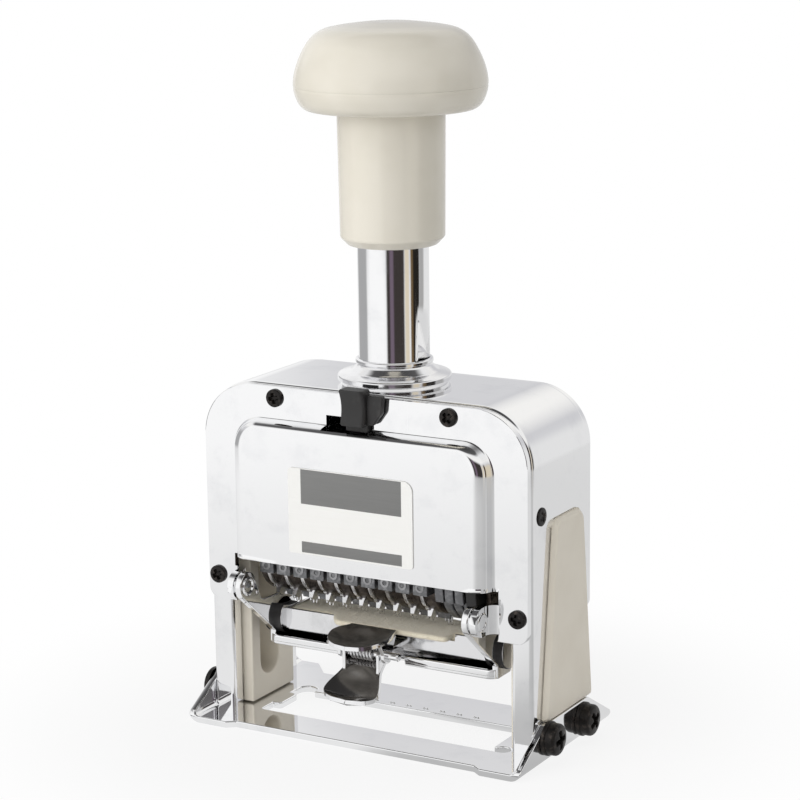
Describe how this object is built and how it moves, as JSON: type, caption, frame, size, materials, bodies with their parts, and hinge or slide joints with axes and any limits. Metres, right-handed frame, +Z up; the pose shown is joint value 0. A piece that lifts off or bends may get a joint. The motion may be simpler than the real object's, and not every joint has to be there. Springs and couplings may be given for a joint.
{
  "type": "numbering machine",
  "caption": "Hand numbering machine: a pump handle drives a head of number wheels down through a bent frame while the ink pad swings away.",
  "frame": {"origin": "centre of the base plate, on the paper plane under the plunger axis", "axes": "+Z up along the plunger axis, +X to the right along the wheel axle seen from the front, +Y to the back"},
  "size_m": [0.0919, 0.0464, 0.161],
  "materials": {
    "chrome": "mirror chrome plate on pressed steel",
    "steel": "plain ground steel inside the machine",
    "handle_plastic": "glossy ivory moulding",
    "guide_plastic": "satin beige moulding",
    "black_plastic": "fine grained black moulding",
    "black_steel": "black oxide on small screws",
    "wheel_steel": "dark browned steel with worn edges",
    "felt": "undyed wool felt",
    "label": "blank printed foil plate with two grey bands"
  },
  "bodies": {
    "frame": {"frame_band": "chrome", "front_cover": "chrome", "back_cover": "chrome", "name_plate": "label", "front_cover_screws": "black_steel", "back_cover_screws": "black_steel", "side_screws": "black_steel", "base_plate": "chrome", "base_screws_left": "black_steel", "base_screws_right": "black_steel", "side_guide_left": "guide_plastic", "side_guide_right": "guide_plastic", "top_collar": "chrome", "collar_nut": "steel", "spring_seat_bar": "steel", "spring_guide_rod": "steel", "tray_hinge_pins": "chrome", "action_pivot": "steel"},
    "plunger": {"main_spring": "steel", "plunger_tube": "chrome", "tube_plug": "steel", "tube_nut": "steel", "handle_sleeve": "handle_plastic", "knob_lower": "handle_plastic", "knob_upper": "handle_plastic", "head_bridge": "steel", "head_plate_left": "wheel_steel", "head_plate_right": "wheel_steel", "head_screws": "black_steel", "wheel_axle": "steel", "axle_nuts": "black_steel", "guide_shoe_left": "guide_plastic", "guide_shoe_right": "guide_plastic", "detent_comb": "steel", "pawl_shaft": "steel", "cam_spacer": "black_plastic"},
    "feed_pawls": {"feed_pawl_comb": "steel"},
    "wheel_1": {"number_wheel_1": "wheel_steel"},
    "wheel_2": {"number_wheel_2": "wheel_steel"},
    "wheel_3": {"number_wheel_3": "wheel_steel"},
    "wheel_4": {"number_wheel_4": "wheel_steel"},
    "wheel_5": {"number_wheel_5": "wheel_steel"},
    "wheel_6": {"number_wheel_6": "wheel_steel"},
    "wheel_7": {"number_wheel_7": "wheel_steel"},
    "wheel_8": {"number_wheel_8": "wheel_steel"},
    "wheel_9": {"number_wheel_9": "wheel_steel"},
    "wheel_10": {"number_wheel_10": "wheel_steel"},
    "repeat_counter": {"repeat_cams": "steel"},
    "tray": {"ink_tray": "chrome", "pad_holder": "chrome", "pad_end_bosses": "black_plastic", "felt_pad": "felt", "finger_plate": "chrome", "lever_pin": "chrome", "lever_spring": "chrome"},
    "pad_release": {"release_lever": "chrome"},
    "plunger_lock": {"lock_lever": "black_plastic", "lock_slide": "steel"},
    "action_selector": {"action_lever": "black_plastic"}
  },
  "joints": [
    {"name": "plunger_slide", "type": "slide", "parent": "frame", "child": "plunger", "axis": [0, 0, 1], "range_m": [-0.0254, 0], "stiffness_N_per_m": 700, "springref_m": 0.012, "deforming": ["main_spring"]},
    {"name": "tray_swing", "type": "hinge", "parent": "frame", "child": "tray", "pos_m": [0, -0.019, 0.0336], "axis": [1, 0, 0], "range_deg": [-101, 0]},
    {"name": "pad_release_lever", "type": "hinge", "parent": "tray", "child": "pad_release", "pos_m": [-0.0009, -0.0138, 0.0205], "axis": [1, 0, 0], "range_deg": [-24, 0], "stiffness_Nm_per_rad": 0.01, "springref_deg": 17.19},
    {"name": "plunger_lock_slide", "type": "slide", "parent": "frame", "child": "plunger_lock", "axis": [1, 0, 0], "range_m": [-0.0052, 0]},
    {"name": "action_select", "type": "hinge", "parent": "frame", "child": "action_selector", "pos_m": [0, 0.0205, 0.056], "axis": [0, 1, 0], "range_deg": [-60, 60]},
    {"name": "feed_pawl_swing", "type": "hinge", "parent": "plunger", "child": "feed_pawls", "pos_m": [0, 0.0124, 0.047], "axis": [1, 0, 0], "range_deg": [0, 12]},
    {"name": "wheel_1_turn", "type": "hinge", "parent": "plunger", "child": "wheel_1", "pos_m": [-0.0261, -0.0019, 0.0386], "axis": [1, 0, 0], "continuous": true},
    {"name": "wheel_2_turn", "type": "hinge", "parent": "plunger", "child": "wheel_2", "pos_m": [-0.02163, -0.0019, 0.0386], "axis": [1, 0, 0], "continuous": true},
    {"name": "wheel_3_turn", "type": "hinge", "parent": "plunger", "child": "wheel_3", "pos_m": [-0.01717, -0.0019, 0.0386], "axis": [1, 0, 0], "continuous": true},
    {"name": "wheel_4_turn", "type": "hinge", "parent": "plunger", "child": "wheel_4", "pos_m": [-0.0127, -0.0019, 0.0386], "axis": [1, 0, 0], "continuous": true},
    {"name": "wheel_5_turn", "type": "hinge", "parent": "plunger", "child": "wheel_5", "pos_m": [-0.00824, -0.0019, 0.0386], "axis": [1, 0, 0], "continuous": true},
    {"name": "wheel_6_turn", "type": "hinge", "parent": "plunger", "child": "wheel_6", "pos_m": [-0.00377, -0.0019, 0.0386], "axis": [1, 0, 0], "continuous": true},
    {"name": "wheel_7_turn", "type": "hinge", "parent": "plunger", "child": "wheel_7", "pos_m": [0.0007, -0.0019, 0.0386], "axis": [1, 0, 0], "continuous": true},
    {"name": "wheel_8_turn", "type": "hinge", "parent": "plunger", "child": "wheel_8", "pos_m": [0.00516, -0.0019, 0.0386], "axis": [1, 0, 0], "continuous": true},
    {"name": "wheel_9_turn", "type": "hinge", "parent": "plunger", "child": "wheel_9", "pos_m": [0.00963, -0.0019, 0.0386], "axis": [1, 0, 0], "continuous": true},
    {"name": "wheel_10_turn", "type": "hinge", "parent": "plunger", "child": "wheel_10", "pos_m": [0.01409, -0.0019, 0.0386], "axis": [1, 0, 0], "continuous": true},
    {"name": "repeat_counter_turn", "type": "hinge", "parent": "plunger", "child": "repeat_counter", "pos_m": [0.0214, -0.0019, 0.0386], "axis": [1, 0, 0], "continuous": true}
  ],
  "couplings": [
    {"joint": "tray_swing", "follows": "plunger_slide", "rad_per_m": 68.7},
    {"joint": "feed_pawl_swing", "follows": "plunger_slide", "rad_per_m": -8}
  ]
}
